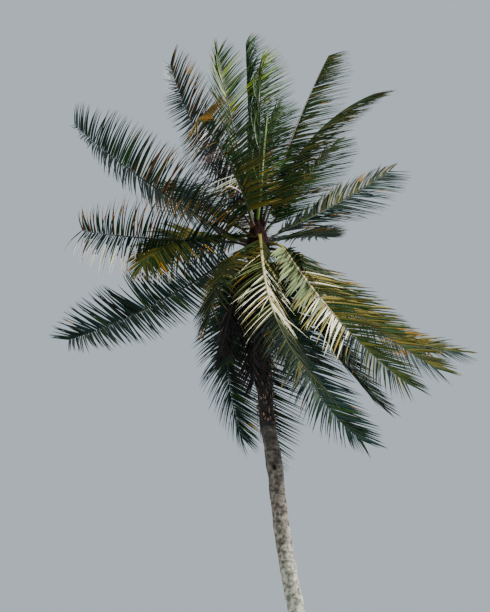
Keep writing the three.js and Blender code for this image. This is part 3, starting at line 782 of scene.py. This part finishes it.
# Where a frond's sides aren't as usual: how far the leaflets of a side open from the rib, what share of the
# frond's wind they take, and how heavily they hang
SIDES = {
    ("upright_centre_left", -1): (0.5, 1, 1),
    ("upright_centre_left", 1): (0.5, 1, 1),
    ("upright_centre_right", -1): (0.6, 1, 1),
    ("upright_centre_right", 1): (0.7, 1, 1),
    ("upright_left", -1): (1.1, -0.6, 0.3),
    ("upright_left", 1): (0.8, 0.6, 1),
    ("upright_back", -1): (0.8, 0.4, 1),
    ("upright_back", 1): (0.6, 1, 1),
    ("upright_front", -1): (0.6, 0.2, 5),
    ("right_level", -1): (1, 0.55, 1.8),
    ("right_level", 1): (0.65, 0.7, 0.5),
    ("right_drooping", -1): (1, 1, 2.4),
    ("hanging_right", 1): (0.4, 1, 3.2),
}

# Leaf: a thin waxy blade with a faint gloss, a finish of one plain colour for each shade.
leaf_finishes = []
for shade, colour in LEAF_COLOURS.items():
    material, shader = new_finish(f"leaf_{shade}", colour, 0.5)
    shader.inputs["Specular IOR Level"].default_value = 0.14
    leaf_finishes.append(material)


def deal(draws, mixture, count):
    """Draws shades by their weights."""
    weights = np.array(list(mixture.values()), dtype=float)
    picked = draws.choice(len(weights), count, p=weights / weights.sum())
    return np.array([SHADES.index(shade) for shade in mixture])[picked]


def in_sprays(draws, count):
    """Parts a row of leaflets into sprays of three to six. Gives each leaflet's spray and its place in it."""
    sizes = draws.integers(3, 7, count)
    spray = np.repeat(np.arange(count), sizes)[:count]
    firsts = np.concatenate([[0], np.cumsum(sizes)])[spray]
    return spray, np.arange(count) - firsts - (sizes[spray] - 1) / 2


def squared(vectors, axes):
    """Vectors made square to axes, at length 1."""
    return unit(vectors - axes * np.sum(vectors * axes, axis=1)[:, None])


def turned(vectors, axes, angles):
    """Vectors turned about axes that they are square to."""
    return vectors * np.cos(angles)[..., None] + np.cross(axes, vectors) * np.sin(angles)[..., None]


def inside_stem(points):
    """Whether points lie in the trunk or the bundle, or just off them."""
    z = points[..., 2]
    off = np.linalg.norm(points[..., :2] - trunk_middle(z)[..., :2], axis=-1)
    up_bundle = (z - TRUNK_TOP) / BUNDLE_HEIGHT
    reach = np.where(z < TRUNK_TOP, trunk_radius(np.maximum(z, 0)), bundle_radius(up_bundle))
    return (off < reach + STEM_GAP) & (z < TRUNK_TOP + BUNDLE_HEIGHT)


def by_tone(values, usual, stretches):
    """A value for each stretch of a row, by its tone."""
    return np.array([values.get(tone, usual) for tone, _ in stretches])


def row_lengths(draws, place, rib_length):
    """How long a row's leaflets are: longest past the stalk, shorter at the tip, and a few broken off."""
    count = len(place)
    length = LEAFLET_LENGTH * np.sin(np.pi * (0.22 + 0.64 * place)) ** 0.6
    length = length * (rib_length / USUAL_RIB_LENGTH) ** 0.3
    length = length * draws.uniform(0.9, 1.04, count) * (1 - SHORTER_AT_TIP * np.clip(place * 5 - 4, 0, 1))
    return np.where(draws.random(count) < BROKEN_SHARE, length * draws.uniform(0.5, 0.9, count), length)


def row_shades(draws, place, spray, stretches):
    """Deals a row its shades, with ragged borders between the stretches. Some leaflets take a shade of their
    own, and the others that of their spray. Gives each one's stretch, its shade, that of its tip, and
    whether the tip is scorched."""
    count = len(place)
    torch = draws.random(count)[spray] * 0.7 + draws.random(count) * 0.3
    ends = [end for _, end in stretches[:-1]]
    stretch = np.searchsorted(ends, place + draws.normal(0, BORDER_SCATTER, count))
    blades = np.zeros(count, dtype=int)
    tips = np.zeros(count, dtype=int)
    for index, (tone, _) in enumerate(stretches):
        dealt = deal(draws, TONES[tone], count)
        dealt = np.where(draws.random(count) < OWN_SHADE_SHARE, dealt, dealt[spray])
        blades = np.where(stretch == index, dealt, blades)
        tips = np.where(stretch == index, deal(draws, TIP_TONES.get(tone, OTHER_TIPS), count), tips)
    scorched = torch < by_tone(SCORCHED_SHARE, OTHER_SCORCHED_SHARE, stretches)[stretch]
    return stretch, blades, tips, scorched


def row_lines(root, start, pull, length):
    """The middle lines of a row's leaflets, which set out along start and bend more and more with the pull:
    their points, and the direction at each."""
    points = [root]
    ways = []
    for step in range(1, LINE_STEPS + 1):
        ways.append(unit(start + pull * (PULL_AT_ROOT + (1 - PULL_AT_ROOT) * (step / LINE_STEPS) ** 1.3)))
        points.append(points[-1] + ways[-1] * length[:, None] / LINE_STEPS)
    ways = unit(np.stack([ways[0]] + ways, axis=1) + np.stack(ways + [ways[-1]], axis=1))
    return np.stack(points, axis=1), ways


def row_sides(draws, across, ways):
    """The sides of a row's leaflets, kept square to their lines, with a little waver."""
    sides = []
    for step in range(LINE_STEPS + 1):
        across = squared(across, ways[:, step])
        across = turned(across, ways[:, step], draws.normal(0, 0.06, len(across)))
        sides.append(across)
    return np.stack(sides, axis=1)


def blade_sections(half, fold, depth):
    """The sections of thin blades, which are folded down along their middle."""
    return np.stack([
        np.stack([half, -fold], axis=-1),
        np.stack([0 * half, depth], axis=-1),
        np.stack([-half, -fold], axis=-1),
        np.stack([0 * half, -depth], axis=-1),
    ], axis=2)


def leaflet_row(draws, path, rib_length, pull, opening, breadth, stretches, hand):
    """The leaflets of one side of a frond: their points, sides, ups, sections and shades."""
    count = LEAFLETS_A_SIDE
    place = (np.arange(count) + 0.5 + draws.uniform(-0.3, 0.3, count)) / count
    share = STALK_SHARE + (1 - STALK_SHARE) * place
    root, along, side, up = frame_at(path, share)
    length = row_lengths(draws, place, rib_length)
    spray, within = in_sprays(draws, count)
    stretch, blades, tips, scorched = row_shades(draws, place, spray, stretches)
    shrivelled = by_tone(TONE_SHRIVELLED, 0, stretches)[stretch]

    # Which way each sets out from the rib, drawn towards the middle of its spray
    dry = stretches[0][0] == "dry"
    spacing = (1 - STALK_SHARE) * rib_length / count
    gather = draws.uniform(0, SPRAY_GATHER, count)[spray] * within * spacing / length
    lean = np.radians(DRY_LEAN if dry else ROOT_LEAN + (TIP_LEAN - ROOT_LEAN) * place ** 1.3)
    lean = lean * opening * (1 - SHUT_AT_TIP * np.clip(place * 6 - 5, 0, 1))
    lean = lean + gather + draws.normal(0, 0.12 if dry else 0.025, count)
    lean = lean + shrivelled * draws.normal(0, 0.22, count)
    lift = np.radians(DRY_LIFT if dry else LEAFLET_LIFT) + draws.normal(0, 0.07, count)
    lift = lift + draws.normal(0, 0.035, count)[spray]
    start = (
        along * np.cos(lean)[:, None]
        + side * (hand * np.sin(lean) * np.cos(lift))[:, None]
        + up * (np.sin(lean) * np.sin(lift))[:, None]
    )

    # What bends it, and its line and twist
    pull = pull * (1 + draws.normal(0, 0.08, count))[:, None]
    pull = pull + draws.normal(0, 0.03, (count, 3))[spray] + draws.normal(0, 0.03, (count, 3))
    pull = pull + shrivelled[:, None] * draws.normal(0, 0.12, (count, 3))
    out = hand * SEAT_OUT * rib_width(share)
    root = root + side * out[:, None] + up * (SEAT_UP * rib_width(share))[:, None]
    points, ways = row_lines(root, start, pull, length)
    twist = hand * (LEAFLET_TWIST + draws.normal(0, 0.14, count))
    sides = row_sides(draws, turned(-hand * squared(along, ways[:, 0]), ways[:, 0], twist), ways)

    # Its blade, broadest near the root, and the step where its tip turns dry
    run = np.linspace(0, 1, LINE_STEPS + 1)
    spread = np.minimum(1, 0.75 + 1.5 * run) * (1 - run ** 1.5) ** 0.9 + 0.03
    width = LEAFLET_WIDTH * breadth * by_tone(TONE_BREADTH, 1, stretches)[stretch]
    width = width * (length / LEAFLET_LENGTH) ** 0.4 * draws.uniform(0.85, 1.15, count)
    half = width[:, None] * spread[None] / 2
    depth = LEAFLET_HALF_THICKNESS * (1 - 0.7 * run)[None] * np.ones((count, 1))
    sections = blade_sections(half, LEAFLET_FOLD * half, depth)
    drier = by_tone(TONE_DRIER, 0, stretches)[stretch]
    from_step = np.where(scorched, draws.integers(4, 8, count) - drier, LINE_STEPS)
    shades = np.where(np.arange(LINE_STEPS)[None] >= from_step[:, None], tips[:, None], blades[:, None])
    kept = ~inside_stem(points[:, 2:]).any(axis=1) & (draws.random(count) > LOST_SHARE)
    return [part[kept] for part in (points, sides, np.cross(ways, sides), sections, shades)]


for index, (name, *_, length, blow, hang, breadth, tone) in enumerate(FRONDS):
    draws = np.random.default_rng(100 + index)
    rows = []
    for hand in (-1, 1):
        opening, wind_share, side_hang = SIDES.get((name, hand), (1, 1, hang))
        pull = (WIND * (blow * wind_share) + WEIGHT * side_hang) * PULL_AT_TIP
        stretches = SIDE_TONES.get((name, hand)) or SIDE_TONES.get((name, 0), [(tone, 1)])
        rows.append(leaflet_row(draws, paths_of[name], length, pull, opening, breadth, stretches, hand))
    points, sides, ups, sections, shades = [np.concatenate(parts) for parts in zip(*rows)]
    leaflets = swept(f"frond_{name}_leaflets", points, sides, ups, sections, leaf_finishes, shades)
    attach(leaflets, "root")
    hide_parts(*nodes_of[name])


# Spear leaf: the youngest leaf, its leaflets still pressed shut round the rib in a tall pale green rod. Made
# from a tapering rod with forty folded blades laid on it.
SPEAR_LENGTH = 2.3
SPEAR_RADIUS = 0.036
SPEAR_TIP_RADIUS = 0.007
SPEAR_LEAN = math.radians(5)
SPEAR_BLADES = 40
SPEAR_BLADE_STATIONS = 7
SPEAR_BLADE_HALF_WIDTH = 0.02
SPEAR_BLADE_FOLD = 0.35
SPEAR_BLADE_THICKNESS = 0.2
BLADES_AT_RADIUS = 0.75
ROD_AT_RADIUS = 0.8
ROD_STATIONS = 9
ROD_SIDES = 10
draws = np.random.default_rng(11)
axis = np.array([math.sin(SPEAR_LEAN), 0, math.cos(SPEAR_LEAN)])
root = bundle_point(HIGHEST_SEAT)
blade_angle = draws.uniform(0, math.tau, SPEAR_BLADES)
blade_start = draws.uniform(0.0, 0.5, SPEAR_BLADES) * SPEAR_LENGTH
blade_end = np.minimum(blade_start + draws.uniform(0.7, 1.3, SPEAR_BLADES), SPEAR_LENGTH)
run = np.linspace(0, 1, SPEAR_BLADE_STATIONS)
up_rod = blade_start[:, None] + (blade_end - blade_start)[:, None] * run[None]
spin = blade_angle[:, None] + draws.uniform(-0.5, 0.5, (SPEAR_BLADES, 1)) * run[None]
rod_radius = SPEAR_RADIUS + (SPEAR_TIP_RADIUS - SPEAR_RADIUS) * up_rod / SPEAR_LENGTH
outward = np.stack([np.cos(spin) * axis[2], np.sin(spin), -np.cos(spin) * axis[0]], axis=-1)
paths = root + axis * up_rod[..., None] + outward * (rod_radius * BLADES_AT_RADIUS)[..., None]
sides = unit(np.cross(axis, outward))
half = SPEAR_BLADE_HALF_WIDTH * (np.minimum(1, 0.5 + 2 * run) * (1 - run ** 3) + 0.04)
half = half[None] * np.ones((SPEAR_BLADES, 1))
sections = blade_sections(half, SPEAR_BLADE_FOLD * half, SPEAR_BLADE_THICKNESS * half)
young = deal(draws, {"fresh_green": 5, "pale_green": 3, "yellow_olive": 2}, SPEAR_BLADES)
shades = np.repeat(young[:, None], SPEAR_BLADE_STATIONS - 1, axis=1)
spear = swept("spear_blades", paths, -sides, outward, sections, leaf_finishes, shades)
rod_run = np.linspace(0, 1, ROD_STATIONS)
rod_path = (root + axis * (rod_run * SPEAR_LENGTH)[:, None])[None]
rod_width = (SPEAR_RADIUS + (SPEAR_TIP_RADIUS - SPEAR_RADIUS) * rod_run) * ROD_AT_RADIUS
ring = np.array([(math.cos(a), math.sin(a)) for a in np.linspace(0, math.tau, ROD_SIDES, endpoint=False)])
flat = np.broadcast_to([math.cos(SPEAR_LEAN), 0, -math.sin(SPEAR_LEAN)], rod_path.shape)
rod = swept(
    "spear_rod", rod_path, flat, np.cross(axis, flat), ring[None, None] * rod_width[None, :, None, None],
    [leaf_finishes[SHADES.index("fresh_green")]],
)
rod.data.shade_smooth()
for piece in (spear, rod):
    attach(piece, "root")
    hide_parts("spear_leaf")


# Spathe: the woody bract of a spent flower stalk, a boat with two pointed ends, ribbed along its length.
# Made by sweeping a ribbed ring with a groove in its upper side up a slope.
SPATHE_LENGTH = 0.68
SPATHE_RADIUS = 0.046
SPATHE_SEAT = 0.34
SPATHE_SLOPE = math.radians(12)
SPATHE_AZIMUTH = math.radians(28)
SPATHE_STATIONS = 25
SPATHE_CORNERS = 28
SPATHE_RIBS = 14
SPATHE_RIB_DEPTH = 0.05
GROOVE_DEPTH = 0.85
GROOVE_WIDTH = 0.35
heading = np.array([math.cos(SPATHE_AZIMUTH), math.sin(SPATHE_AZIMUTH), 0])
spathe_way = heading * math.cos(SPATHE_SLOPE) + np.array([0, 0, math.sin(SPATHE_SLOPE)])
spathe_side = np.array([-math.sin(SPATHE_AZIMUTH), math.cos(SPATHE_AZIMUTH), 0])
run = np.linspace(0, 1, SPATHE_STATIONS)
spathe_root = bundle_point(SPATHE_SEAT)
path = (spathe_root + spathe_way * (run * SPATHE_LENGTH)[:, None])[None]
around = np.linspace(0, math.tau, SPATHE_CORNERS, endpoint=False)
ribbed = 1 + SPATHE_RIB_DEPTH * np.cos(SPATHE_RIBS * around)
grooved = 1 - GROOVE_DEPTH * np.exp(-((around - math.pi / 2) / GROOVE_WIDTH) ** 2)
ring = np.stack([np.cos(around) * ribbed, np.sin(around) * ribbed * grooved], axis=1)
girth = SPATHE_RADIUS * np.maximum(np.sin(np.pi * run), 0.02) ** 0.9
spathe_side = np.broadcast_to(spathe_side, path.shape)

# Dry woody bract: nearly black, with paler brown weathering in patches of about 45 mm.
spathe_finish, shader = new_finish("dry_woody_bract", "#2c1f1a", 0.7)
place = node(spathe_finish, "ShaderNodeTexCoord").outputs["Object"]
weather = blotches(spathe_finish, place, 22.0, 4.0)
weather_mix = mixed(spathe_finish, weather, "#1c1412", "#4a3529")
dress(spathe_finish, shader, weather_mix)
spathe = swept(
    "woody_spathe", path, spathe_side, np.cross(spathe_way, spathe_side),
    (ring[None] * girth[:, None, None])[None], [spathe_finish],
)
spathe.data.shade_smooth()
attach(spathe, "root")
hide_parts("dry_spathe")


# The camera stands on the ground in front of the palm and looks up at the crown. There are a plain pale
# floor, a pale sky all round, a strong sun from high on the right and a weak soft fill from the left.
FLOOR_SIZE = 120
FLOOR_GAP = 0.002
CAMERA_PLACE = (-1.815, -20, 1.6)
CAMERA_TILT = math.radians(112.5)
floor_finish, shader = new_finish("pale_floor", "#bfc2c0", 0.9)
bpy.ops.object.select_all(action="DESELECT")
bpy.ops.mesh.primitive_plane_add(size=FLOOR_SIZE, location=(0, 0, -FLOOR_GAP))
floor = bpy.context.object
floor.name = "floor"
floor.data.materials.append(floor_finish)

camera = bpy.data.objects.new("camera", bpy.data.cameras.new("camera"))
camera.location = CAMERA_PLACE
camera.rotation_euler = (CAMERA_TILT, 0, 0)
camera.data.sensor_width = 36
camera.data.lens = 76.5
camera.data.clip_end = 500
bpy.context.scene.collection.objects.link(camera)
bpy.context.scene.camera = camera


def add_sun(name, direction, strength, softness):
    """A distant light that shines along a direction."""
    light = bpy.data.lights.new(name, "SUN")
    light.energy = strength
    light.angle = math.radians(softness)
    made = bpy.data.objects.new(name, light)
    made.rotation_euler = Vector(direction).to_track_quat("-Z", "Y").to_euler()
    bpy.context.scene.collection.objects.link(made)


add_sun("key", direction=(-0.74, 0.14, -0.64), strength=10.0, softness=3)
add_sun("fill", direction=(0.7, 0.6, -0.2), strength=0.3, softness=60)
surround = bpy.data.worlds.new("pale_surround")
surround.use_nodes = True
surround.node_tree.nodes["Background"].inputs["Color"].default_value = linear("#d3e1ea")
surround.node_tree.nodes["Background"].inputs["Strength"].default_value = 0.75
bpy.context.scene.world = surround
